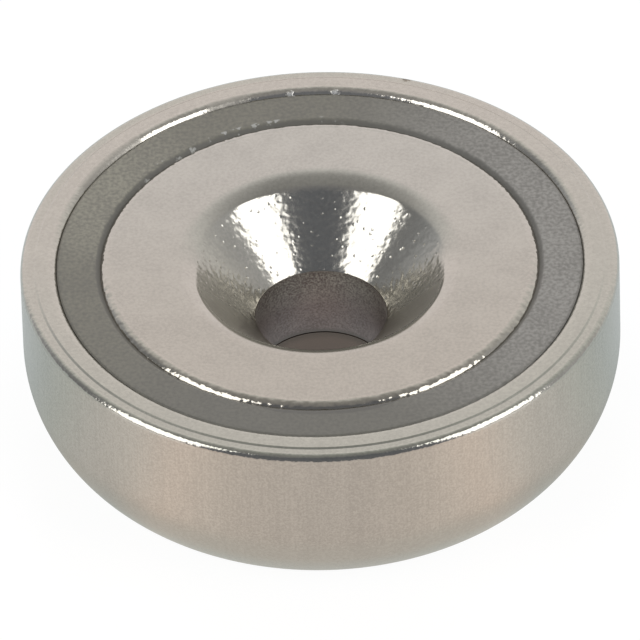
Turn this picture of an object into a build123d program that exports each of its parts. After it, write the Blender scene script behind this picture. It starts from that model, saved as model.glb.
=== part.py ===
"""Countersunk pot magnet: a ring magnet potted in a plated steel cup.

The magnet lies on its base with its holding face up. Its origin is the centre of the base,
with +Z along the axis of the screw hole, towards the holding face. Sizes are in millimetres.
"""
from build123d import *
import os
from math import radians, tan

# Steel pot
POT_DIAMETER = 25.0          # outside of the cup
POT_HEIGHT = 8.0             # base to holding rim
WALL_THICKNESS = 1.55        # cup wall at the rim
FLOOR_THICKNESS = 1.65       # cup floor under the magnet
ROLL_HEIGHT = 4.05           # height up to which the side rolls in towards the base
ROLL_SETBACK = 2.07          # how far the rolled side has come in at the base plane
BASE_EDGE_RADIUS = 1.0       # between the rolled side and the flat base
CUP_CORNER_BEVEL = 0.6       # inside the cup, between floor and wall
RIM_OUTER_BEVEL = 0.25       # outer edge of the rim
RIM_INNER_BEVEL = 0.4        # inner edge of the rim
RIM_BAND_WIDTH = 0.62        # outer band of the rim, turned just below the holding face
RIM_BAND_DROP = 0.05         # how far that band lies below the holding face

# Screw hole: clearance for an M5 countersunk screw, one diameter through magnet and floor
SCREW_HOLE_DIAMETER = 5.5
FLOOR_HOLE_BEVEL = 0.2       # where the hole breaks out of the base
COUNTERSINK_DIAMETER = 11.0  # where the cone would meet the magnet's face as a sharp edge
COUNTERSINK_ANGLE = 90.0     # included angle of the cone
COUNTERSINK_MOUTH_RADIUS = 1.1

# Ring magnet
MAGNET_DROP = 0.1            # magnet's face below the holding rim
MAGNET_EDGE_RADIUS = 0.4     # tumbled outer edge of its face
MAGNET_FOOT_BEVEL = 0.4      # outer edge of its underside, buried in resin
MAGNET_HOLE_BEVEL = 0.1      # lower edge of its hole, seen as a dark line inside the hole

# Potting resin
RESIN_WIDTH = 1.75           # radial gap that the resin fills
RESIN_DROP = 0.16            # resin's surface below the holding rim
RESIN_INNER_SHRINK = 0.36    # width of the groove that the resin leaves round the magnet
RESIN_OUTER_SHRINK = 0.09    # width of the groove that it leaves along the cup

# Places that the pieces share
POT_RADIUS = POT_DIAMETER / 2
CUP_RADIUS = POT_RADIUS - WALL_THICKNESS
MAGNET_RADIUS = CUP_RADIUS - RESIN_WIDTH
HOLE_RADIUS = SCREW_HOLE_DIAMETER / 2
MAGNET_TOP = POT_HEIGHT - MAGNET_DROP
RESIN_TOP = POT_HEIGHT - RESIN_DROP


def section(*edges):
    """Face in the XZ plane inside a closed outline of (radius, height) edges."""
    return make_face([Plane.XZ * edge for edge in edges])


def round_corner(profile, radius, height, size):
    """Round off the corner of a section that lies at a radius and height."""
    corner = profile.vertices().sort_by_distance((radius, 0, height))[0]
    return fillet(corner, size)


def steel_pot():
    """Cup with a rolled-in side, a stepped holding rim and a screw hole in its floor."""
    band_radius = POT_RADIUS - RIM_BAND_WIDTH
    band_top = POT_HEIGHT - RIM_BAND_DROP
    base_radius = POT_RADIUS - ROLL_SETBACK
    rolled_side = TangentArc((POT_RADIUS, ROLL_HEIGHT), (base_radius, 0), tangent=(0, -1))
    outline = Polyline(
        (base_radius, 0),
        (HOLE_RADIUS + FLOOR_HOLE_BEVEL, 0),
        (HOLE_RADIUS, FLOOR_HOLE_BEVEL),
        (HOLE_RADIUS, FLOOR_THICKNESS),
        (CUP_RADIUS - CUP_CORNER_BEVEL, FLOOR_THICKNESS),
        (CUP_RADIUS, FLOOR_THICKNESS + CUP_CORNER_BEVEL),
        (CUP_RADIUS, POT_HEIGHT - RIM_INNER_BEVEL),
        (CUP_RADIUS + RIM_INNER_BEVEL, POT_HEIGHT),
        (band_radius, POT_HEIGHT),
        (band_radius, band_top),
        (POT_RADIUS - RIM_OUTER_BEVEL, band_top),
        (POT_RADIUS, band_top - RIM_OUTER_BEVEL),
        (POT_RADIUS, ROLL_HEIGHT),
    )
    profile = section(rolled_side, outline)
    profile = round_corner(profile, base_radius, 0, BASE_EDGE_RADIUS)
    return revolve(profile, Axis.Z)


def ring_magnet():
    """Ring with a countersunk hole and a tumbled edge, flat on the cup's floor."""
    mouth_radius = COUNTERSINK_DIAMETER / 2
    cone_slope = tan(radians(COUNTERSINK_ANGLE / 2))
    throat_height = MAGNET_TOP - (mouth_radius - HOLE_RADIUS) / cone_slope
    outline = Polyline(
        (HOLE_RADIUS + MAGNET_HOLE_BEVEL, FLOOR_THICKNESS),
        (MAGNET_RADIUS - MAGNET_FOOT_BEVEL, FLOOR_THICKNESS),
        (MAGNET_RADIUS, FLOOR_THICKNESS + MAGNET_FOOT_BEVEL),
        (MAGNET_RADIUS, MAGNET_TOP),
        (mouth_radius, MAGNET_TOP),
        (HOLE_RADIUS, throat_height),
        (HOLE_RADIUS, FLOOR_THICKNESS + MAGNET_HOLE_BEVEL),
        (HOLE_RADIUS + MAGNET_HOLE_BEVEL, FLOOR_THICKNESS),
    )
    profile = section(outline)
    profile = round_corner(profile, MAGNET_RADIUS, MAGNET_TOP, MAGNET_EDGE_RADIUS)
    profile = round_corner(profile, mouth_radius, MAGNET_TOP, COUNTERSINK_MOUTH_RADIUS)
    return revolve(profile, Axis.Z)


def resin_ring():
    """Cured resin between magnet and cup, which meets both where their top edges start."""
    outline = Polyline(
        (MAGNET_RADIUS - MAGNET_FOOT_BEVEL, FLOOR_THICKNESS),
        (CUP_RADIUS - CUP_CORNER_BEVEL, FLOOR_THICKNESS),
        (CUP_RADIUS, FLOOR_THICKNESS + CUP_CORNER_BEVEL),
        (CUP_RADIUS, POT_HEIGHT - RIM_INNER_BEVEL),
        (CUP_RADIUS - RESIN_OUTER_SHRINK, RESIN_TOP),
        (MAGNET_RADIUS + RESIN_INNER_SHRINK, RESIN_TOP),
        (MAGNET_RADIUS, MAGNET_TOP - MAGNET_EDGE_RADIUS),
        (MAGNET_RADIUS, FLOOR_THICKNESS + MAGNET_FOOT_BEVEL),
        (MAGNET_RADIUS - MAGNET_FOOT_BEVEL, FLOOR_THICKNESS),
    )
    return revolve(section(outline), Axis.Z)


PIECES = {
    "steel_pot": steel_pot,
    "ring_magnet": ring_magnet,
    "resin_ring": resin_ring,
}

os.makedirs("parts", exist_ok=True)
for name, build in PIECES.items():
    export_step(build(), f"parts/{name}.step")
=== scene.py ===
"""Countersunk pot magnet, dressed: plated steel cup, plated ring magnet and the resin between them.

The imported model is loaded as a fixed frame. Each piece is turned from its own profile in the
same frame, in metres, and stands for its CAD node.
"""
import logging
import math
from dataclasses import dataclass
from enum import Enum
from typing import Callable, Optional, Union

import bmesh
import bpy
from mathutils import Matrix, Vector


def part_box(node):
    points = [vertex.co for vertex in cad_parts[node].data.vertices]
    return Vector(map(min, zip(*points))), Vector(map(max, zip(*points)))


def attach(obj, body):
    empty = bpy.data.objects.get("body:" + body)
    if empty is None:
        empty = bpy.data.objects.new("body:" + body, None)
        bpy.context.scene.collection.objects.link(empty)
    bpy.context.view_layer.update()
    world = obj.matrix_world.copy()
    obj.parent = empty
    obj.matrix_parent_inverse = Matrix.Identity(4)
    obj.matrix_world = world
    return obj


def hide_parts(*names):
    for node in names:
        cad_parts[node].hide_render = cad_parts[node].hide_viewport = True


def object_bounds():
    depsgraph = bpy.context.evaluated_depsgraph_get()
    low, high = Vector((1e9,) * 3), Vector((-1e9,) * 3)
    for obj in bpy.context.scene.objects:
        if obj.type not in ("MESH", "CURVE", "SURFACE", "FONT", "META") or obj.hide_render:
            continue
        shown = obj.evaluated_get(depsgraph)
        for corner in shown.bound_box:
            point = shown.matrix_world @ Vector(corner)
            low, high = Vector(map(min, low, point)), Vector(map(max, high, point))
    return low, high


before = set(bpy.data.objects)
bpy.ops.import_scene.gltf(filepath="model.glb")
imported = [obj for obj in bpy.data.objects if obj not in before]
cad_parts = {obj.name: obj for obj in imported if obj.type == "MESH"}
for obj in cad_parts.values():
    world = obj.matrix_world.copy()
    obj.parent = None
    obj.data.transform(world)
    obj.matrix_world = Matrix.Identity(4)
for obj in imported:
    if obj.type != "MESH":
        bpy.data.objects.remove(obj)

CAD_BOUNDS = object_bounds()
MM = 0.001
DEG = math.pi / 180
FRAME_PIXELS = 640
HOLE_RADIUS = 2.75 * MM
NEAR_AXIS = 0.1 * MM
NOISE_MEAN = 0.5
RAGGED_DETAIL = 1.0
REARWARD = 90.0
BODY = "root"
WHITE = (1.0, 1.0, 1.0)
LOG = logging.getLogger("pot_magnet")

Colour = tuple[float, float, float]
Point = tuple[float, float]
Edge = tuple[float, float]
Bend = tuple[float, float]
Stops = tuple[tuple[float, Colour], ...]
Number = Union[float, "Value"]


class Slot(Enum):
    """The record's material slots."""

    CUP = "plated_steel"
    MAGNET = "plated_magnet"
    RESIN = "potting_resin"


@dataclass(frozen=True)
class Grain:
    """Noise of a finish: size of its coarsest grains, and number of finer octaves."""

    size: float
    detail: float = 2.0


@dataclass(frozen=True)
class Scatter:
    """Round dots: spacing of the cells, share of the cells that hold one, and its radius in spacings."""

    spacing: float
    share: float
    reach: float
    fade: float = 0.02


@dataclass(frozen=True)
class Side:
    """One side of the part: its direction in degrees, and the cosines at which it starts and is full."""

    angle: float
    edge: Edge


@dataclass(frozen=True)
class Mark:
    """Small mark: its direction in degrees, where its middle lies, and the distance at which it ends."""

    angle: float
    radius: float
    height: float
    reach: float


# ---------------------------------------------------------------- shader expressions


class Value:
    """A shader value: Python operators on it add the Math nodes that they stand for."""

    def __init__(self, graph: "Graph", socket: bpy.types.NodeSocket) -> None:
        """Wraps one output socket of a graph."""
        self.graph = graph
        self.socket = socket

    def __add__(self, other: Number) -> "Value":
        """Sum."""
        return self.graph.math("ADD", self, other)

    __radd__ = __add__

    def __sub__(self, other: Number) -> "Value":
        """Difference."""
        return self.graph.math("SUBTRACT", self, other)

    def __rsub__(self, other: Number) -> "Value":
        """Difference, with this value taken away."""
        return self.graph.math("SUBTRACT", other, self)

    def __mul__(self, other: Number) -> "Value":
        """Product."""
        return self.graph.math("MULTIPLY", self, other)

    __rmul__ = __mul__

    def __truediv__(self, other: Number) -> "Value":
        """Quotient."""
        return self.graph.math("DIVIDE", self, other)

    def root(self) -> "Value":
        """Square root."""
        return self.graph.math("SQRT", self)

    def above(self, limit: Number) -> "Value":
        """The larger of this value and a limit."""
        return self.graph.math("MAXIMUM", self, limit)

    def ease(self, start: float, end: float) -> "Value":
        """Smooth step from 0 at start to 1 at end, also where end is the lower of the two.

        Args:
            start: Input at which the step is 0.
            end: Input at which the step is 1.

        Returns:
            The eased value, between 0 and 1.
        """
        low, high = min(start, end), max(start, end)
        step = self.graph.node(
            "ShaderNodeMapRange",
            {"interpolation_type": "SMOOTHSTEP"},
            {"Value": self, "From Min": low, "From Max": high},
        )
        eased = Value(self.graph, step.outputs["Result"])
        return eased if start < end else 1 - eased


class Graph:
    """A node tree that is written as expressions."""

    def __init__(self, tree: bpy.types.NodeTree) -> None:
        """Empties a node tree and takes it over."""
        self.tree = tree
        tree.nodes.clear()

    def node(
        self, kind: str, settings: Optional[dict] = None, inputs: Optional[dict] = None
    ) -> bpy.types.Node:
        """Adds one node.

        Args:
            kind: Node type.
            settings: Properties of the node, or a colour ramp's stops under "stops".
            inputs: Values or links of its sockets, by name or number.

        Returns:
            The node.
        """
        node = self.tree.nodes.new(kind)
        for name, value in (settings or {}).items():
            if name == "stops":
                self._set_stops(node.color_ramp, value)
            else:
                setattr(node, name, value)
        for name, value in (inputs or {}).items():
            self.feed(node.inputs[name], value)
        return node

    def _set_stops(self, ramp: bpy.types.ColorRamp, stops: Stops) -> None:
        """Gives a colour ramp its stops, in order of place.

        Args:
            ramp: The ramp.
            stops: Place and colour of each stop.
        """
        for index, (place, colour) in enumerate(stops):
            placed = index < len(ramp.elements)
            element = ramp.elements[index] if placed else ramp.elements.new(place)
            element.position = place
            element.color = (*colour, 1.0)

    def feed(self, socket: bpy.types.NodeSocket, value: object) -> None:
        """Links or sets one input socket.

        Args:
            socket: The input.
            value: A Value, an output socket, or a plain number, colour or vector.
        """
        if isinstance(value, Value):
            value = value.socket
        if isinstance(value, bpy.types.NodeSocket):
            self.tree.links.new(value, socket)
        elif socket.type == "RGBA":
            socket.default_value = (*value, 1.0)
        else:
            socket.default_value = value

    def math(self, operation: str, *values: Number) -> Value:
        """Adds one Math node.

        Args:
            operation: Its operation.
            values: Its inputs, in order.

        Returns:
            Its result.
        """
        node = self.node("ShaderNodeMath", {"operation": operation}, dict(enumerate(values)))
        return Value(self, node.outputs[0])

    def mix(self, share: Number, first: object, second: object, blend: str = "MIX") -> bpy.types.NodeSocket:
        """Mixes two colours.

        Args:
            share: Share of the second colour.
            first: Colour at 0.
            second: Colour at 1.
            blend: How they are mixed.

        Returns:
            The mixed colour.
        """
        settings = {"data_type": "RGBA", "blend_type": blend}
        return self.node("ShaderNodeMix", settings, {0: share, 6: first, 7: second}).outputs[2]

    def ramp(self, value: Value, stops: Stops) -> bpy.types.NodeSocket:
        """Reads a colour ramp that runs from -1 to 1.

        Args:
            value: Where it is read.
            stops: Place and colour of each stop.

        Returns:
            The colour.
        """
        placed = tuple(((place + 1) / 2, colour) for place, colour in stops)
        return self.node("ShaderNodeValToRGB", {"stops": placed}, {0: value * 0.5 + 0.5}).outputs[0]

    def seen(self) -> Value:
        """1 for rays that come from the camera straight or through glass, 0 for others."""
        path = self.node("ShaderNodeLightPath").outputs
        return Value(self, path["Is Camera Ray"]).above(Value(self, path["Is Transmission Ray"]))

    def noise(self, place: bpy.types.NodeSocket, grain: Grain) -> Value:
        """Fractal noise.

        Args:
            place: Where it is read.
            grain: Its grains, in the units of place.

        Returns:
            Noise about 0.5.
        """
        inputs = {"Vector": place, "Scale": 1 / grain.size, "Detail": grain.detail}
        return Value(self, self.node("ShaderNodeTexNoise", inputs=inputs).outputs["Fac"])

    def dots(self, place: bpy.types.NodeSocket, scatter: Scatter) -> Value:
        """Scattered round dots.

        Args:
            place: Where they are read.
            scatter: How close, how many and how large they are.

        Returns:
            1 in the middle of a dot, 0 outside it.
        """
        cells = self.node("ShaderNodeTexVoronoi", inputs={"Vector": place, "Scale": 1 / scatter.spacing})
        pick = self.node("ShaderNodeSeparateColor", inputs={"Color": cells.outputs["Color"]})
        empty = 1 - scatter.share
        chosen = Value(self, pick.outputs[0]).ease(empty, empty + scatter.fade)
        return chosen * Value(self, cells.outputs["Distance"]).ease(scatter.reach, 0.0)


class Place:
    """Where a shaded point lies on the part, read from its Object coordinates."""

    def __init__(self, graph: Graph) -> None:
        """Reads the coordinates and works out the distance from the axis.

        Args:
            graph: The material's graph.
        """
        self.graph = graph
        self.point = graph.node("ShaderNodeTexCoord").outputs["Object"]
        parts = graph.node("ShaderNodeSeparateXYZ", inputs={0: self.point})
        self.x, self.y, self.z = (Value(graph, socket) for socket in parts.outputs)
        self.radius = (self.x * self.x + self.y * self.y).root()

    def ragged(self, grain: float, reach: float) -> bpy.types.NodeSocket:
        """Place moved about at random, so that marks read there get ragged outlines.

        Args:
            grain: Size of the ripples in an outline.
            reach: How far a point is moved at most, about.

        Returns:
            The moved place.
        """
        inputs = {"Vector": self.point, "Scale": 1 / grain, "Detail": RAGGED_DETAIL}
        wave = self.graph.node("ShaderNodeTexNoise", inputs=inputs)
        centred = self.graph.node(
            "ShaderNodeVectorMath",
            {"operation": "SUBTRACT"},
            {0: wave.outputs["Color"], 1: (NOISE_MEAN,) * 3},
        )
        moved = self.graph.node(
            "ShaderNodeVectorMath",
            {"operation": "MULTIPLY_ADD"},
            {0: centred.outputs["Vector"], 1: (2 * reach,) * 3, 2: self.point},
        )
        return moved.outputs["Vector"]

    def drawn(self, stretch: float) -> bpy.types.NodeSocket:
        """Place on a drawn wall, by its direction from the axis, stretched along the axis.

        Args:
            stretch: How many times longer than wide a grain read here becomes.

        Returns:
            A vector whose x and y are the radius in metres times the direction.
        """
        around = self.radius.above(NEAR_AXIS)
        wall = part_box("steel_pot")[1].x
        inputs = {0: self.x / around * wall, 1: self.y / around * wall, 2: self.z / stretch}
        return self.graph.node("ShaderNodeCombineXYZ", inputs=inputs).outputs[0]

    def towards(self, angle: float) -> Value:
        """Cosine of the angle between this point's direction from the axis and another.

        Args:
            angle: The other direction, in degrees from +X towards +Y.

        Returns:
            1 on that side of the part, -1 on the far side.
        """
        around = self.radius.above(NEAR_AXIS)
        return (self.x * math.cos(angle * DEG) + self.y * math.sin(angle * DEG)) / around

    def on(self, side: Side) -> Value:
        """1 on one side of the part, 0 away from it."""
        return self.towards(side.angle).ease(*side.edge)

    def spot(self, place: bpy.types.NodeSocket, mark: Mark) -> Value:
        """A small mark.

        Args:
            place: Where it is read.
            mark: The mark.

        Returns:
            1 in its middle, 0 outside it.
        """
        angle = mark.angle * DEG
        middle = (mark.radius * math.cos(angle), mark.radius * math.sin(angle), mark.height)
        apart = self.graph.node("ShaderNodeVectorMath", {"operation": "DISTANCE"}, {0: place, 1: middle})
        return Value(self.graph, apart.outputs["Value"]).ease(mark.reach, mark.reach / 2)


# ---------------------------------------------------------------- finishes


def new_material(name: str) -> tuple[bpy.types.Material, Graph]:
    """Makes an empty node material.

    Args:
        name: Its name.

    Returns:
        The material and its graph.
    """
    material = bpy.data.materials.new(name)
    material.use_nodes = True
    return material, Graph(material.node_tree)


def finish_surface(graph: Graph, inputs: dict, relief: Value, depth: float) -> None:
    """Adds the surface shader, with its relief, and the material's output.

    Args:
        graph: The material's graph.
        inputs: Sockets of the surface shader.
        relief: Height of the relief, as a share of its depth.
        depth: Height that a relief of 1 stands for, in metres.
    """
    bump = graph.node("ShaderNodeBump", inputs={"Height": relief, "Distance": depth})
    surface = graph.node("ShaderNodeBsdfPrincipled", inputs={**inputs, "Normal": bump.outputs[0]})
    graph.node("ShaderNodeOutputMaterial", inputs={"Surface": surface.outputs[0]})


@dataclass(frozen=True)
class CupPlating:
    """Nickel on drawn steel: satin, with draw lines up the side and bright edges at the rim."""

    # Colours of the metal, tints that multiply it as painted light and shade on the rim, painted shade
    # inside the hole, and colours of its marks
    tone: Colour = (0.555, 0.527, 0.471)
    shade: Colour = (0.45, 0.427, 0.382)
    rim_front_painted_shade: Colour = (0.95, 0.99, 0.965)
    rim_rear_painted_light: Colour = (1.085, 1.08, 1.075)
    band_rear_painted_shade: Colour = (0.93, 0.965, 0.95)
    lip_painted_sheen: Colour = (1.25, 1.25, 1.25)
    # Painted shade inside the screw hole
    hole_painted_shade: Colour = (0.286, 0.225, 0.190)
    joint: Colour = (0.16, 0.14, 0.12)
    joint_share: float = 0.5
    smudge: Colour = (0.38, 0.36, 0.32)
    chip: Colour = (0.80, 0.79, 0.75)
    rust: Colour = (0.20, 0.17, 0.13)

    # Roughness
    satin: float = 0.26
    drawn: float = 0.27
    bright: float = 0.14
    smeared: float = 0.42

    # Grains, and their shares in the mottling
    grain: Grain = Grain(0.13 * MM)
    line: Grain = Grain(0.10 * MM, detail=3.0)
    line_stretch: float = 30.0
    streak: Grain = Grain(0.9 * MM)
    streak_stretch: float = 6.0
    speck: Grain = Grain(0.08 * MM, detail=1.0)
    ripple: Grain = Grain(0.22 * MM, detail=1.5)
    grain_share: float = 0.6
    line_share: float = 0.4
    streak_share: float = 0.2
    speck_share: float = 0.9
    mottled: Edge = (0.3, 0.9)

    # Radii and heights of the cup's parts, from where a finish starts to where it is full
    side: Edge = (12.2 * MM, 12.45 * MM)
    side_top: Edge = (7.75 * MM, 7.6 * MM)
    face: Edge = (7.80 * MM, 7.90 * MM)
    band: Edge = (11.97 * MM, 12.03 * MM)
    outer_edge: Edge = (12.15 * MM, 12.25 * MM)
    outer_edge_foot: Edge = (7.55 * MM, 7.7 * MM)
    lip: Edge = (11.42 * MM, 11.27 * MM)
    lip_foot: Edge = (7.0 * MM, 7.3 * MM)
    lip_steep: Edge = (11.22 * MM, 11.08 * MM)
    hole: Edge = (3.1 * MM, 2.8 * MM)
    joint_rise: Edge = (1.20 * MM, 1.62 * MM)

    # Sides: where the rim's painted light and shade fall and where resin smears; and marks
    rear: Side = Side(100.0, (-1.0, 1.0))
    lip_sheen_fore_and_aft: Edge = (0.2, 0.7)
    band_shade_side: Side = Side(112.0, (0.45, 0.95))
    smears: tuple[Side, Side] = (Side(142.0, (0.981, 0.987)), Side(109.3, (0.9955, 0.9975)))
    chips: tuple[Mark, Mark] = (
        Mark(95.3, 11.0 * MM, 7.85 * MM, 0.22 * MM),
        Mark(85.6, 11.03 * MM, 7.86 * MM, 0.20 * MM),
    )
    rust_speck: Mark = Mark(71.5, 12.40 * MM, 7.9 * MM, 0.34 * MM)
    fleck_size: float = 0.12 * MM
    fleck_reach: float = 0.16 * MM

    # Relief, in shares of its depth
    grain_relief: float = 0.2
    line_relief: float = 1.5
    streak_relief: float = 0.8
    side_grain_relief: float = 0.5
    ripple_relief: float = 4.2
    chip_relief: float = 3.0
    relief_depth: float = 0.004 * MM

    def material(self) -> bpy.types.Material:
        """Builds the finish.

        Returns:
            Its material.
        """
        material, graph = new_material("nickel_on_steel")
        place = Place(graph)
        on_side = place.radius.ease(*self.side) * place.z.ease(*self.side_top)
        on_edge = place.radius.ease(*self.outer_edge) * place.z.ease(*self.outer_edge_foot)
        on_lip = place.radius.ease(*self.lip) * place.z.ease(*self.lip_foot)
        on_steep = on_lip * place.radius.ease(*self.lip_steep)
        polish = on_edge.above(on_lip)
        in_hole = place.radius.ease(*self.hole)

        lines = graph.noise(place.drawn(self.line_stretch), self.line)
        streaks = graph.noise(place.drawn(self.streak_stretch), self.streak)
        grain = graph.noise(place.point, self.grain)
        specks = (graph.noise(place.point, self.speck) - NOISE_MEAN) * self.speck_share
        ripple = graph.noise(place.point, self.ripple)
        even = self.line_share * NOISE_MEAN * (1 - on_side)
        mottle = grain * self.grain_share + (lines * self.line_share + specks) * on_side + even
        mottle = mottle + streaks * self.streak_share

        first_smear, second_smear = (place.on(side) for side in self.smears)
        smear = first_smear.above(second_smear) * on_lip
        flecks = place.ragged(self.fleck_size, self.fleck_reach)
        first_chip, second_chip = (place.spot(flecks, mark) for mark in self.chips)
        chipped = first_chip.above(second_chip)
        colour = graph.mix(mottle.ease(*self.mottled), self.tone, self.shade)
        colour = self._paint_rim_shading(graph, place, colour, on_steep)
        # Painted shade inside the screw hole, then the dark joint, resin smear, chips and rust
        for share, other in (
            (in_hole, self.hole_painted_shade),
            (in_hole * place.z.ease(*self.joint_rise) * self.joint_share, self.joint),
            (smear * on_steep, self.smudge),
            (chipped, self.chip),
            (place.spot(flecks, self.rust_speck), self.rust),
        ):
            colour = graph.mix(share, colour, other)

        roughness = self.satin + (self.drawn - self.satin) * on_side + (self.bright - self.satin) * polish
        inputs = {
            "Base Color": colour,
            "Metallic": 1.0,
            "Roughness": roughness + (self.smeared - self.bright) * smear.above(chipped),
        }
        drawn = lines * self.line_relief + streaks * self.streak_relief + grain * self.side_grain_relief
        relief = grain * self.grain_relief + drawn * on_side + ripple * self.ripple_relief * polish
        finish_surface(graph, inputs, relief + chipped * self.chip_relief, self.relief_depth)
        return material

    def _paint_rim_shading(
        self, graph: Graph, place: Place, colour: bpy.types.NodeSocket, on_steep: Value
    ) -> bpy.types.NodeSocket:
        """Paints light and shade into the rim: darker at the front and lighter at the rear, painted shade
        on its outer band at the rear, and a painted sheen on the steep part of its lip.

        Args:
            graph: The material's graph.
            place: Where the shaded point lies.
            colour: Colour of the metal.
            on_steep: 1 on the steep part of the lip.

        Returns:
            The colour with its painted light and shade.
        """
        on_face = place.z.ease(*self.face)
        # Painted shade at the front of the rim, painted light at its rear
        rim = graph.mix(place.on(self.rear), self.rim_front_painted_shade, self.rim_rear_painted_light)
        rearward = place.towards(REARWARD)
        # Painted shade on the outer band at the rear, painted sheen on the lip at its front and rear
        for share, painted_shading in (
            (on_face, rim),
            (place.radius.ease(*self.band) * on_face * place.on(self.band_shade_side), self.band_rear_painted_shade),
            (on_steep * (rearward * rearward).ease(*self.lip_sheen_fore_and_aft), self.lip_painted_sheen),
        ):
            colour = graph.mix(share, colour, painted_shading, "MULTIPLY")
        return colour


@dataclass(frozen=True)
class MagnetPlating:
    """Nickel on sintered magnet: satin face, bright and finely pitted countersink, dull hole."""

    # Colours of the metal, tints that multiply it as painted shade at the front and painted light at the
    # rear, and colours inside the hole with painted shade low down and painted light high up
    tone: Colour = (0.555, 0.527, 0.471)
    shade: Colour = (0.46, 0.436, 0.390)
    front: Colour = (0.945, 0.935, 0.91)
    rear: Colour = (1.0, 1.02, 1.03)
    hole_shaded_low: Colour = (0.50, 0.427, 0.408)
    hole_lit_high: Colour = (0.78, 0.77, 0.70)
    stain: Colour = (0.30, 0.256, 0.243)
    joint: Colour = (0.30, 0.27, 0.25)

    # Roughness
    satin: float = 0.26
    polished: float = 0.17
    worn: float = 0.33
    bright: float = 0.11
    dull: float = 0.45

    # Grains, and their shares in the mottling and the stains
    grain: Grain = Grain(0.13 * MM)
    cloud: Grain = Grain(1.6 * MM)
    peel: Grain = Grain(0.24 * MM, detail=0.5)
    speck: Grain = Grain(0.08 * MM, detail=1.0)
    pits: Scatter = Scatter(0.25 * MM, share=0.45, reach=0.34)
    grain_share: float = 0.6
    cloud_share: float = 0.4
    mottled: Edge = (0.3, 0.8)
    speck_stains: float = 0.7
    cloud_stains: float = 0.3
    stained: Edge = (0.3, 0.7)

    # Radii and heights of the magnet's parts, from where a finish starts to where it is full
    hole: Edge = (3.1 * MM, 2.9 * MM)
    hole_top: Edge = (5.06 * MM, 4.98 * MM)
    hole_lit_rise: Edge = (3.0 * MM, 4.9 * MM)
    joint_fall: Edge = (1.95 * MM, 1.74 * MM)
    sink: Edge = (5.25 * MM, 5.1 * MM)
    lip: Edge = (5.9 * MM, 5.5 * MM)
    outer_edge: Edge = (8.7 * MM, 8.85 * MM)
    worn_side: Side = Side(270.0, (-0.35, 0.5))

    # Relief, in shares of its depth
    grain_relief: float = 0.15
    peel_relief: float = 2.6
    pit_relief: float = 2.2
    edge_relief: float = 5.0
    relief_depth: float = 0.006 * MM

    def material(self) -> bpy.types.Material:
        """Builds the finish.

        Returns:
            Its material.
        """
        material, graph = new_material("nickel_on_magnet")
        place = Place(graph)
        in_hole = place.z.ease(*self.hole_top) * place.radius.ease(*self.hole)
        in_sink = place.radius.ease(*self.sink) * (1 - in_hole)
        on_lip = place.radius.ease(*self.lip) * (1 - in_hole)
        on_edge = place.radius.ease(*self.outer_edge)
        at_joint = in_hole * place.z.ease(*self.joint_fall)
        worn = place.on(self.worn_side) * in_sink

        grain = graph.noise(place.point, self.grain)
        clouds = graph.noise(place.point, self.cloud)
        peel = graph.noise(place.point, self.peel)
        pits = graph.dots(place.point, self.pits)
        mottle = grain * self.grain_share + clouds * self.cloud_share
        tone = graph.mix(mottle.ease(*self.mottled), self.tone, self.shade)
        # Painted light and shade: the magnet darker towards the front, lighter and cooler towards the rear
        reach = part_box("ring_magnet")[1].x
        painted_shading = graph.mix(place.y.ease(-reach, reach), self.front, self.rear)
        tone = graph.mix(1.0, tone, painted_shading, "MULTIPLY")
        colour = graph.mix(in_hole, tone, self._hole_shading_and_stains(graph, place, clouds))
        colour = graph.mix(at_joint, colour, self.joint)

        roughness = self.satin + (self.bright - self.satin) * on_lip.above(on_edge)
        roughness = roughness + (self.polished - self.bright) * in_sink + (self.worn - self.polished) * worn
        inputs = {
            "Base Color": colour,
            "Metallic": 1.0,
            "Roughness": roughness + (self.dull - self.satin) * in_hole,
        }
        pitted = peel * self.peel_relief - pits * self.pit_relief
        relief = grain * self.grain_relief + pitted * in_sink + peel * self.edge_relief * on_edge
        finish_surface(graph, inputs, relief, self.relief_depth)
        return material

    def _hole_shading_and_stains(self, graph: Graph, place: Place, clouds: Value) -> bpy.types.NodeSocket:
        """Colours the wall of the hole with painted light and shade, brighter towards the countersink and
        darker deeper down, and stained all over.

        Args:
            graph: The material's graph.
            place: Where the shaded point lies.
            clouds: The coarse noise of the plating.

        Returns:
            The colour.
        """
        specks = graph.noise(place.point, self.speck)
        stains = (specks * self.speck_stains + clouds * self.cloud_stains).ease(*self.stained)
        # Painted shade deep in the hole, painted light towards the countersink
        wall = graph.mix(place.z.ease(*self.hole_lit_rise), self.hole_shaded_low, self.hole_lit_high)
        return graph.mix(stains, wall, self.stain)


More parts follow.
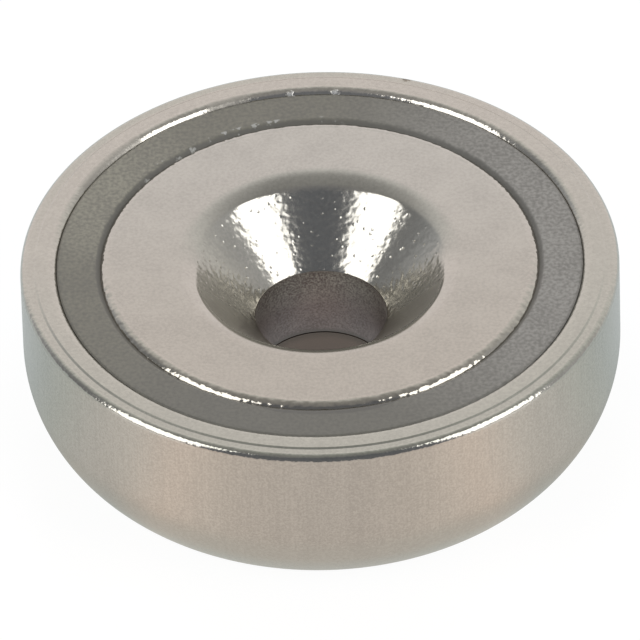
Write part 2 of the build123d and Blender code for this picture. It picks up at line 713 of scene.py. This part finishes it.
@dataclass(frozen=True)
class PottingResin:
    """Filled grey epoxy, semi-matt, paler on two sides, with painted shade and dark joint lines in the
    grooves along the magnet and the cup, and crumbs along the magnet.
    """

    # Colours, of the whole and of its sides, and roughness
    dark: Colour = (0.190, 0.184, 0.156)
    sides: tuple[tuple[Side, Colour], ...] = (
        (Side(150.0, (-0.1, 0.75)), (0.232, 0.222, 0.178)),
        (Side(150.0, (0.85, 1.0)), (0.322, 0.308, 0.246)),
        (Side(5.0, (0.1, 1.0)), (0.350, 0.338, 0.310)),
    )
    # Dark colour of the painted groove shade and joint lines, and of the darker mottling
    joint: Colour = (0.135, 0.130, 0.115)
    crumb: Colour = (0.44, 0.44, 0.41)
    roughness: float = 0.42

    # Grains, and their shares in the mottling
    grain: Grain = Grain(0.16 * MM)
    cloud: Grain = Grain(1.5 * MM)
    grain_share: float = 0.8
    cloud_share: float = 0.2
    mottled: Edge = (0.3, 0.7)
    mottle_share: float = 0.65

    # Painted shade and dark joint lines in the grooves along the magnet and the cup, widest at the front
    magnet_joint_shade_edge: Edge = (9.46 * MM, 9.34 * MM)
    magnet_joint_shade_share: float = 0.85
    wide_shade_side: Side = Side(271.0, (0.93, 0.99))
    shade_wider_by: float = 0.26 * MM
    wave: Grain = Grain(0.5 * MM)
    wave_reach: float = 0.12 * MM
    cup_joint_shade_edge: Edge = (10.86 * MM, 10.93 * MM)
    cup_joint_shade_share: float = 0.2

    # Crumbs along the magnet
    crumbs: Scatter = Scatter(0.32 * MM, share=0.32, reach=0.62)
    crumb_side: Side = Side(115.0, (0.8, 0.95))
    crumb_edge: Edge = (9.56 * MM, 9.44 * MM)
    crumb_wave: float = 0.15 * MM
    crumb_fade: Edge = (0.0, 0.5)

    # Relief, in shares of its depth
    grain_relief: float = 0.5
    crumb_relief: float = 3.0
    relief_depth: float = 0.01 * MM

    def material(self) -> bpy.types.Material:
        """Builds the finish.

        Returns:
            Its material.
        """
        material, graph = new_material("potting_resin")
        place = Place(graph)
        grain = graph.noise(place.point, self.grain)
        clouds = graph.noise(place.point, self.cloud)
        mottle = (grain * self.grain_share + clouds * self.cloud_share).ease(*self.mottled)

        wave = graph.noise(place.point, self.wave) * self.wave_reach
        from_magnet = place.radius + wave - place.on(self.wide_shade_side) * self.shade_wider_by
        magnet_joint_and_shade = from_magnet.ease(*self.magnet_joint_shade_edge) * self.magnet_joint_shade_share
        cup_joint_and_shade = place.radius.ease(*self.cup_joint_shade_edge) * self.cup_joint_shade_share

        crumbs = graph.dots(place.ragged(self.crumb_wave, self.crumb_wave), self.crumbs)
        crumbs = crumbs * (place.on(self.crumb_side) * place.radius.ease(*self.crumb_edge))
        colour: object = self.dark
        for share, other in (
            *((place.on(side), other) for side, other in self.sides),
            # Painted shade in the grooves along the magnet and the cup, with their dark joint lines
            (magnet_joint_and_shade.above(cup_joint_and_shade), self.joint),
            (mottle * self.mottle_share, self.joint),
            (crumbs.ease(*self.crumb_fade), self.crumb),
        ):
            colour = graph.mix(share, colour, other)
        relief = grain * self.grain_relief + clouds + crumbs * self.crumb_relief
        inputs = {"Base Color": colour, "Roughness": self.roughness}
        finish_surface(graph, inputs, relief, self.relief_depth)
        return material


# ---------------------------------------------------------------- turning


def deselect_all() -> None:
    """Leaves nothing selected."""
    if bpy.context.object is not None and bpy.context.object.mode != "OBJECT":
        bpy.ops.object.mode_set(mode="OBJECT")
    bpy.ops.object.select_all(action="DESELECT")


class Lathe:
    """Draws a profile in the XZ plane with a pen of one vertex, and turns it about the Z axis."""

    SECTORS = 16
    PEN_SIZE = 0.1 * MM
    CORNER_REACH = 0.01 * MM
    PROFILE_SEAM = 0.001 * MM
    SECTOR_SEAM = 0.0005 * MM
    SMOOTH_BELOW = 28 * DEG

    def __init__(self, name: str, radius: float, height: float) -> None:
        """Puts the pen down.

        Args:
            name: Name of the piece.
            radius: Radius at which the profile starts.
            height: Height at which it starts.
        """
        deselect_all()
        bpy.ops.mesh.primitive_plane_add(
            size=self.PEN_SIZE, location=(radius, 0, height), rotation=(90 * DEG, 0, 0)
        )
        self.piece = bpy.context.object
        self.piece.name = self.piece.data.name = name
        bpy.ops.object.transform_apply(location=True, rotation=True, scale=True)
        bpy.ops.object.mode_set(mode="EDIT")
        bpy.ops.mesh.select_all(action="SELECT")
        bpy.ops.mesh.merge(type="CENTER")
        self.pen = Vector((radius, 0, height))

    def line_to(self, radius: float, height: float) -> None:
        """Draws a straight line to a corner.

        Args:
            radius: Radius of the corner.
            height: Height of the corner.
        """
        corner = Vector((radius, 0, height))
        bpy.ops.mesh.extrude_region_move(TRANSFORM_OT_translate={"value": corner - self.pen})
        self.pen = corner

    def arc(self, radius: float, height: float, angle: float, steps: int) -> None:
        """Draws an arc about a centre, from the pen's place.

        Args:
            radius: Radius of the arc's centre.
            height: Height of the arc's centre.
            angle: Angle of the arc, positive from +X towards +Z.
            steps: Number of its edges.
        """
        centre = Vector((radius, 0, height))
        bpy.ops.mesh.spin(steps=steps, angle=angle, center=centre, axis=(0, 1, 0))
        self.pen = centre + Matrix.Rotation(-angle, 3, "Y") @ (self.pen - centre)

    def close(self) -> None:
        """Joins the profile's end to its start and fills it."""
        bpy.ops.mesh.select_all(action="SELECT")
        bpy.ops.mesh.remove_doubles(threshold=self.PROFILE_SEAM)
        bpy.ops.mesh.edge_face_add()

    def select(self, wanted: Callable[[bmesh.types.BMVert], bool]) -> None:
        """Selects vertices by their place.

        Args:
            wanted: Says of a vertex whether it is to be selected.
        """
        bpy.ops.mesh.select_all(action="DESELECT")
        bpy.ops.mesh.select_mode(type="VERT")
        mesh = bmesh.from_edit_mesh(self.piece.data)
        for vertex in filter(wanted, mesh.verts):
            vertex.select = True
        mesh.select_flush_mode()
        bmesh.update_edit_mesh(self.piece.data)

    def round_corner(
        self, radius: float, height: float, size: float, segments: int, turn: float = 90 * DEG
    ) -> None:
        """Rounds one corner of the closed profile.

        Args:
            radius: Radius at which the corner lies.
            height: Height at which it lies.
            size: Radius of the rounding.
            segments: Number of edges of the rounding.
            turn: Angle through which the outline turns there.
        """
        corner = Vector((radius, 0, height))
        self.select(lambda vertex: (vertex.co - corner).length < self.CORNER_REACH)
        bpy.ops.mesh.bevel(
            offset=size * math.tan(turn / 2), segments=segments, affect="VERTICES", clamp_overlap=False
        )

    def split_long(self, spacing: float) -> None:
        """Leaves the profile's outline only, and divides its long edges evenly into short ones.

        Args:
            spacing: Longest edge that is left.
        """
        bpy.ops.mesh.select_all(action="SELECT")
        bpy.ops.mesh.delete(type="ONLY_FACE")
        bpy.ops.mesh.select_mode(type="EDGE")
        mesh = bmesh.from_edit_mesh(self.piece.data)
        lengths = sorted({round(edge.calc_length() / spacing) for edge in mesh.edges})
        for pieces in (number for number in lengths if number > 1):
            bpy.ops.mesh.select_all(action="DESELECT")
            mesh = bmesh.from_edit_mesh(self.piece.data)
            for edge in mesh.edges:
                edge.select = round(edge.calc_length() / spacing) == pieces
            bmesh.update_edit_mesh(self.piece.data)
            bpy.ops.mesh.subdivide(number_cuts=pieces - 1)
        bpy.ops.mesh.select_mode(type="VERT")

    def turn(self, steps: int) -> bpy.types.Object:
        """Turns the profile through one sector, repeats the sector, merges the seams and smooths it.

        Args:
            steps: Number of faces round the axis.

        Returns:
            The finished piece.
        """
        sector = 360 * DEG / self.SECTORS
        about = {"center": (0, 0, 0), "axis": (0, 0, 1)}
        bpy.ops.mesh.select_all(action="SELECT")
        bpy.ops.mesh.spin(steps=steps // self.SECTORS, angle=sector, **about)
        bpy.ops.mesh.select_all(action="SELECT")
        others = self.SECTORS - 1
        bpy.ops.mesh.spin(steps=others, angle=sector * others, dupli=True, **about)
        bpy.ops.mesh.select_all(action="SELECT")
        bpy.ops.mesh.remove_doubles(threshold=self.SECTOR_SEAM)
        bpy.ops.mesh.normals_make_consistent(inside=False)
        bpy.ops.object.mode_set(mode="OBJECT")
        bpy.ops.object.shade_smooth_by_angle(angle=self.SMOOTH_BELOW)
        return self.piece


@dataclass
class TurnedPiece:
    """What the three turned pieces share: a CAD node that they stand for, and how they ride."""

    node: str
    slot: Slot
    steps: int = 512
    longest_edge: float = 0.3 * MM

    def place(self, piece: bpy.types.Object, material: bpy.types.Material) -> bpy.types.Object:
        """Puts a piece in its node's stead, with its finish.

        Args:
            piece: The finished mesh object.
            material: Its material.

        Returns:
            The same piece.
        """
        piece.data.materials.append(material)
        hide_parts(self.node)
        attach(piece, BODY)
        return piece


@dataclass
class SteelPot(TurnedPiece):
    """Cup with a rolled-in side, a stepped holding rim and a screw hole in its floor."""

    node: str = "steel_pot"
    slot: Slot = Slot.CUP
    floor: float = 1.65 * MM
    roll_height: float = 4.05 * MM
    roll_radius: float = 4.997 * MM
    roll_steps: int = 26
    base_edge: float = 1.0 * MM
    base_edge_steps: int = 8
    corner_bevel: float = 0.6 * MM
    rim_outer: float = 0.32 * MM
    rim_outer_steps: int = 7
    rim_inner: float = 0.40 * MM
    rim_inner_steps: int = 8
    band_width: float = 0.60 * MM
    band_drop: float = 0.05 * MM
    step_run: float = 0.085 * MM
    hole_bevel: float = 0.2 * MM

    def build(self, cup_radius: float, hole_radius: float) -> bpy.types.Object:
        """Turns the cup.

        Args:
            cup_radius: Inner radius of the wall.
            hole_radius: Radius of the screw hole.

        Returns:
            The cup.
        """
        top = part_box(self.node)[1].z
        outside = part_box(self.node)[1].x
        band_top = top - self.band_drop
        roll_centre = outside - self.roll_radius
        reach = self.roll_radius - self.base_edge
        rise = self.roll_height - self.base_edge
        edge_centre = roll_centre + math.sqrt(reach**2 - rise**2)
        roll_angle = math.asin(rise / reach)

        lathe = Lathe(self.node + "_turned", hole_radius + self.hole_bevel, 0)
        lathe.line_to(edge_centre, 0)
        lathe.arc(edge_centre, self.base_edge, 90 * DEG - roll_angle, self.base_edge_steps)
        lathe.arc(roll_centre, self.roll_height, roll_angle, self.roll_steps)
        lathe.line_to(outside, band_top)
        lathe.line_to(outside - self.band_width + self.step_run / 2, band_top)
        lathe.line_to(outside - self.band_width - self.step_run / 2, top)
        lathe.line_to(cup_radius, top)
        lathe.line_to(cup_radius, self.floor + self.corner_bevel)
        lathe.line_to(cup_radius - self.corner_bevel, self.floor)
        lathe.line_to(hole_radius, self.floor)
        lathe.line_to(hole_radius, self.hole_bevel)
        lathe.line_to(hole_radius + self.hole_bevel, 0)
        lathe.close()
        lathe.round_corner(outside, band_top, self.rim_outer, self.rim_outer_steps)
        lathe.round_corner(cup_radius, top, self.rim_inner, self.rim_inner_steps)
        lathe.split_long(self.longest_edge)
        return self.place(lathe.turn(self.steps), CupPlating().material())


@dataclass
class RingMagnet(TurnedPiece):
    """Ring with a countersunk hole and a tumbled edge.

    Its mouth bends down into the cone in arcs, each with a radius and the slope at which it ends.
    """

    node: str = "ring_magnet"
    slot: Slot = Slot.MAGNET
    mouth_radius: float = 6.12 * MM
    lip: tuple[Bend, ...] = ((1.1 * MM, 21 * DEG), (3.2 * MM, 28 * DEG), (0.8 * MM, 45 * DEG))
    lip_steps: int = 6
    throat: float = 5.03 * MM
    throat_round: float = 0.05 * MM
    throat_steps: int = 3
    edge_round: float = 0.48 * MM
    edge_steps: int = 9
    edge_depth: float = 0.72 * MM
    foot_bevel: float = 0.4 * MM
    hole_bevel: float = 0.06 * MM
    overhang: float = 0.04 * MM

    def build(self, hole_radius: float) -> bpy.types.Object:
        """Turns the magnet.

        Args:
            hole_radius: Radius of the screw hole.

        Returns:
            The magnet.
        """
        low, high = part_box(self.node)
        outside = high.x + self.overhang
        lathe = Lathe(self.node + "_turned", hole_radius + self.hole_bevel, low.z)
        lathe.line_to(high.x - self.foot_bevel, low.z)
        lathe.line_to(high.x, low.z + self.foot_bevel)
        lathe.line_to(outside, high.z - self.edge_depth)
        lathe.line_to(outside, high.z)
        lathe.line_to(self.mouth_radius, high.z)
        tilt = 0.0
        for size, steeper in self.lip:
            centre = (lathe.pen.x + size * math.sin(tilt), lathe.pen.z - size * math.cos(tilt))
            lathe.arc(*centre, steeper - tilt, self.lip_steps)
            tilt = steeper
        lathe.line_to(hole_radius, self.throat)
        lathe.line_to(hole_radius, low.z + self.hole_bevel)
        lathe.line_to(hole_radius + self.hole_bevel, low.z)
        lathe.close()
        lathe.round_corner(outside, high.z, self.edge_round, self.edge_steps)
        lathe.round_corner(hole_radius, self.throat, self.throat_round, self.throat_steps, tilt)
        lathe.split_long(self.longest_edge)
        return self.place(lathe.turn(self.steps), MagnetPlating().material())


@dataclass
class ResinRing(TurnedPiece):
    """Cured resin between magnet and cup, with a groove along each.

    A groove is given by how far it reaches from its wall, and by the height of its foot.
    """

    node: str = "resin_ring"
    slot: Slot = Slot.RESIN
    longest_edge: float = 0.15 * MM
    top: float = 7.84 * MM
    inner_groove: Point = (0.19 * MM, 7.66 * MM)
    inner_touch: float = 0.06 * MM
    outer_groove: Point = (0.05 * MM, 7.79 * MM)
    cup_touch: Point = (0.03 * MM, 7.70 * MM)
    corner_bevel: float = 0.6 * MM
    foot_bevel: float = 0.4 * MM
    outer_round: Bend = (0.06 * MM, 42 * DEG)
    inner_round: Bend = (0.15 * MM, 36 * DEG)
    round_steps: int = 4

    def build(self, magnet_radius: float) -> bpy.types.Object:
        """Turns the resin ring.

        Args:
            magnet_radius: Outer radius of the magnet.

        Returns:
            The resin ring.
        """
        low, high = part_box(self.node)
        outer_edge = high.x - self.outer_groove[0]
        inner_edge = magnet_radius + self.inner_groove[0]
        lathe = Lathe(self.node + "_turned", magnet_radius - self.foot_bevel, low.z)
        lathe.line_to(high.x - self.corner_bevel, low.z)
        lathe.line_to(high.x, low.z + self.corner_bevel)
        lathe.line_to(high.x, self.cup_touch[1])
        lathe.line_to(high.x + self.cup_touch[0], self.outer_groove[1])
        lathe.line_to(outer_edge, self.top)
        lathe.line_to(inner_edge, self.top)
        lathe.line_to(magnet_radius - self.inner_touch, self.inner_groove[1])
        lathe.line_to(magnet_radius, low.z + self.foot_bevel)
        lathe.line_to(magnet_radius - self.foot_bevel, low.z)
        lathe.close()
        for radius, (size, turn) in ((outer_edge, self.outer_round), (inner_edge, self.inner_round)):
            lathe.round_corner(radius, self.top, size, self.round_steps, turn)
        lathe.split_long(self.longest_edge)
        return self.place(lathe.turn(self.steps), PottingResin().material())


# ---------------------------------------------------------------- studio


@dataclass(frozen=True)
class StudioCamera:
    """Long lens above the front of the magnet, with the middle of its rim off the frame's middle."""

    elevation: float = 40.485 * DEG
    roll: float = 1.7 * DEG
    distance: float = 665.76 * MM
    lens: float = 898.1
    near: float = 0.01
    far: float = 10.0
    rim_pixel: Point = (319.6, 260.0)

    def build(self) -> bpy.types.Object:
        """Sets up the scene's camera.

        Returns:
            The camera.
        """
        data = bpy.data.cameras.new("studio_camera")
        data.lens = self.lens
        data.clip_start, data.clip_end = self.near, self.far
        camera = bpy.data.objects.new("studio_camera", data)
        bpy.context.scene.collection.objects.link(camera)
        rim = Vector((0, 0, CAD_BOUNDS[1].z))
        sine, cosine = math.sin(self.elevation), math.cos(self.elevation)
        pixels = self.lens / data.sensor_width * FRAME_PIXELS
        half = FRAME_PIXELS / 2
        aim = Vector(((self.rim_pixel[0] - half) / pixels, (half - self.rim_pixel[1]) / pixels, -1))
        swing = Vector((0, 0, -1)).rotation_difference(aim).to_matrix()
        tilt = Matrix(((1, 0, 0), (0, sine, cosine), (0, -cosine, sine)))
        turn = (swing @ Matrix.Rotation(self.roll, 3, "Z") @ tilt).transposed()
        back = Vector((0, -cosine, sine))
        camera.matrix_world = Matrix.Translation(rim + back * self.distance) @ turn.to_4x4()
        bpy.context.scene.camera = camera
        return camera


@dataclass(frozen=True)
class SoftBox:
    """Tall soft lamp that faces the magnet."""

    name: str
    azimuth: float
    elevation: float = 29.5 * DEG
    width: float = 33 * DEG
    height: float = 49 * DEG
    radiance: float = 2.4
    distance: float = 450 * MM

    def build(self) -> bpy.types.Object:
        """Hangs the lamp.

        Returns:
            The lamp.
        """
        data = bpy.data.lights.new(self.name, "AREA")
        data.shape = "RECTANGLE"
        data.size = 2 * self.distance * math.tan(self.width / 2)
        data.size_y = 2 * self.distance * math.tan(self.height / 2)
        data.energy = self.radiance * math.pi * data.size * data.size_y
        lamp = bpy.data.objects.new(self.name, data)
        bpy.context.scene.collection.objects.link(lamp)
        flat, rise = math.cos(self.elevation), math.sin(self.elevation)
        towards = Vector((flat * math.cos(self.azimuth), flat * math.sin(self.azimuth), rise))
        lamp.location = Vector((0, 0, CAD_BOUNDS[1].z)) + towards * self.distance
        lamp.rotation_mode = "QUATERNION"
        lamp.rotation_quaternion = towards.to_track_quat("Z", "Y")
        return lamp


LAMPS = (
    SoftBox("left_soft_box", azimuth=-152.5 * DEG, width=34 * DEG),
    SoftBox("right_soft_box", azimuth=-27 * DEG),
)


@dataclass(frozen=True)
class StudioRoom:
    """White backdrop behind the magnet, and a room that darkens over it towards the camera."""

    left_wall: Colour = (0.64, 0.66, 0.70)
    right_wall: Colour = (1.33, 1.35, 1.40)
    left_side: Edge = (-0.45, -0.85)
    left_depth: Edge = (0.70, 0.50)
    right_side: Edge = (0.45, 0.85)
    right_depth: Edge = (0.45, 0.0)
    depths: Stops = (
        (-1.0, (0.20, 0.21, 0.23)),
        (-0.65, (0.165, 0.175, 0.20)),
        (-0.40, (0.30, 0.30, 0.31)),
        (-0.17, (0.34, 0.34, 0.34)),
        (0.04, (0.38, 0.38, 0.38)),
        (0.15, (0.44, 0.44, 0.44)),
        (0.25, (0.51, 0.51, 0.51)),
        (0.35, (0.61, 0.61, 0.61)),
        (0.45, (0.73, 0.73, 0.73)),
        (0.53, (0.82, 0.82, 0.82)),
        (0.76, (1.0, 0.95, 0.965)),
    )

    def build(self) -> None:
        """Lights the world."""
        world = bpy.data.worlds.new("studio_room")
        bpy.context.scene.world = world
        world.use_nodes = True
        graph = Graph(world.node_tree)
        direction = graph.node("ShaderNodeTexCoord").outputs["Generated"]
        parts = graph.node("ShaderNodeSeparateXYZ", inputs={0: direction})
        x, y, _ = (Value(graph, socket) for socket in parts.outputs)
        colour = graph.ramp(y, self.depths)
        left = x.ease(*self.left_side) * y.ease(*self.left_depth)
        right = x.ease(*self.right_side) * y.ease(*self.right_depth)
        colour = graph.mix(left, colour, self.left_wall, "MULTIPLY")
        colour = graph.mix(right, colour, self.right_wall, "MULTIPLY")
        lit = graph.node("ShaderNodeBackground", inputs={"Color": colour, "Strength": 1.0})
        white = graph.node("ShaderNodeBackground", inputs={"Color": WHITE, "Strength": 1.0})
        shown = graph.node(
            "ShaderNodeMixShader", inputs={0: graph.seen(), 1: lit.outputs[0], 2: white.outputs[0]}
        )
        graph.node("ShaderNodeOutputWorld", inputs={"Surface": shown.outputs[0]})


@dataclass(frozen=True)
class Tabletop:
    """Pale, faintly glossy floor that shows white, with a light shadow that is partly painted, and colours
    by side that are painted light for metal to mirror.
    """

    half_size: float = 2.0
    roughness: float = 0.25
    ior: float = 1.85
    # Painted light on the floor by its side of the magnet, warm in front and cooler behind, which metal
    # mirrors
    colours: Stops = (
        (-1.0, (0.82, 0.76, 0.725)),
        (-0.89, (0.85, 0.775, 0.725)),
        (-0.76, (0.925, 0.80, 0.727)),
        (-0.58, (0.79, 0.76, 0.732)),
        (-0.38, (0.76, 0.757, 0.743)),
        (-0.16, (0.665, 0.71, 0.692)),
        (0.07, (0.595, 0.66, 0.668)),
        (0.29, (0.635, 0.697, 0.715)),
        (1.0, (0.694, 0.747, 0.769)),
    )
    # Painted shadow near the magnet, deeper behind it
    painted_contact_shadow: Stops = (
        (-1.0, (0.97, 1.0, 1.0)),
        (-0.76, (0.89, 0.97, 1.0)),
        (-0.58, (0.86, 0.90, 0.90)),
        (-0.38, (0.83, 0.82, 0.78)),
        (-0.16, (0.79, 0.775, 0.76)),
        (1.0, (0.80, 0.79, 0.78)),
    )
    painted_shadow_edge: Edge = (15.0 * MM, 12.4 * MM)
    # Painted reflection tint on the floor under the rolled edge
    foot: Colour = (0.96, 1.015, 1.03)
    painted_foot_tint_edge: Edge = (12.2 * MM, 11.2 * MM)
    # Painted shade under the magnet
    painted_shade_below: Colour = (0.72, 0.72, 0.71)
    painted_shade_below_edge: Edge = (10.6 * MM, 10.0 * MM)
    white_share: float = 0.88
    white_level: float = 1.07
    glow_share: float = 0.5
    glow_in_hole: float = 0.38
    glow_level: float = 1.3
    hole_edge: Edge = (8.0 * MM, 4.0 * MM)
    open_edge: Edge = (3.2 * MM, 4.2 * MM)

    def build(self) -> bpy.types.Object:
        """Lays the floor.

        Returns:
            The floor.
        """
        deselect_all()
        bpy.ops.mesh.primitive_plane_add(size=2 * self.half_size, location=(0, 0, CAD_BOUNDS[0].z))
        floor = bpy.context.object
        floor.name = "tabletop"
        bpy.ops.object.transform_apply(location=True, rotation=True, scale=True)
        floor.data.materials.append(self.material())
        return floor

    def material(self) -> bpy.types.Material:
        """Builds the floor's finish: it shows white, and metal mirrors its colours, painted light by side
        that also glows to mirror rays.

        Returns:
            Its material.
        """
        material, graph = new_material("tabletop")
        place = Place(graph)
        in_hole = place.radius.ease(*self.hole_edge)
        colour = self._colour(graph, place, 1 - in_hole)
        inputs = {"Base Color": colour, "Roughness": self.roughness, "IOR": self.ior}
        shader = graph.node("ShaderNodeBsdfPrincipled", inputs=inputs)
        glow = graph.node("ShaderNodeEmission", inputs={"Color": colour, "Strength": self.glow_level})
        white = graph.node("ShaderNodeEmission", inputs={"Color": WHITE, "Strength": self.white_level})
        clear = graph.node("ShaderNodeBsdfTransparent")
        mirrored = Value(graph, graph.node("ShaderNodeLightPath").outputs["Is Glossy Ray"])
        glow_share = self.glow_share + (self.glow_in_hole - self.glow_share) * in_hole
        below = Value(graph, graph.node("ShaderNodeNewGeometry").outputs["Backfacing"])
        for share, other in (
            (mirrored * glow_share, glow),
            (graph.seen() * self.white_share, white),
            (below, clear),
        ):
            shader = graph.node(
                "ShaderNodeMixShader", inputs={0: share, 1: shader.outputs[0], 2: other.outputs[0]}
            )
        graph.node("ShaderNodeOutputMaterial", inputs={"Surface": shader.outputs[0]})
        return material

    def _colour(self, graph: Graph, place: Place, outside: Value) -> bpy.types.NodeSocket:
        """Colours the floor as painted light by its side of the magnet, darker near it and in the gap below
        its hole as painted shadow and shade.

        Args:
            graph: The material's graph.
            place: Where the shaded point lies.
            outside: 1 away from the hole.

        Returns:
            The colour.
        """
        rearward = place.towards(REARWARD)
        # Painted light by side, then a painted shadow near the magnet and a painted reflection tint under
        # its rolled edge
        colour = graph.ramp(rearward, self.colours)
        painted_contact_shadow = graph.ramp(rearward, self.painted_contact_shadow)
        for edge, painted_shading in ((self.painted_shadow_edge, painted_contact_shadow), (self.painted_foot_tint_edge, self.foot)):
            colour = graph.mix(place.radius.ease(*edge) * outside, colour, painted_shading, "MULTIPLY")
        # Painted shade under the magnet, outside the gap below its hole
        painted_shade_below = place.radius.ease(*self.painted_shade_below_edge) * place.radius.ease(*self.open_edge)
        return graph.mix(painted_shade_below, colour, self.painted_shade_below)


def main() -> None:
    """Builds the pieces and the studio, and reports each."""
    logging.basicConfig(level=logging.INFO, format="%(name)s: %(message)s")
    bpy.context.scene.view_settings.view_transform = "Standard"
    cup_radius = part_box("resin_ring")[1].x
    magnet_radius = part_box("ring_magnet")[1].x
    pieces = (
        SteelPot().build(cup_radius, HOLE_RADIUS),
        RingMagnet().build(HOLE_RADIUS),
        ResinRing().build(magnet_radius),
    )
    for piece in pieces:
        LOG.info("%s: %d faces", piece.name, len(piece.data.polygons))
    Tabletop().build()
    StudioRoom().build()
    for lamp in LAMPS:
        lamp.build()
    StudioCamera().build()


if __name__ == "__main__":
    main()
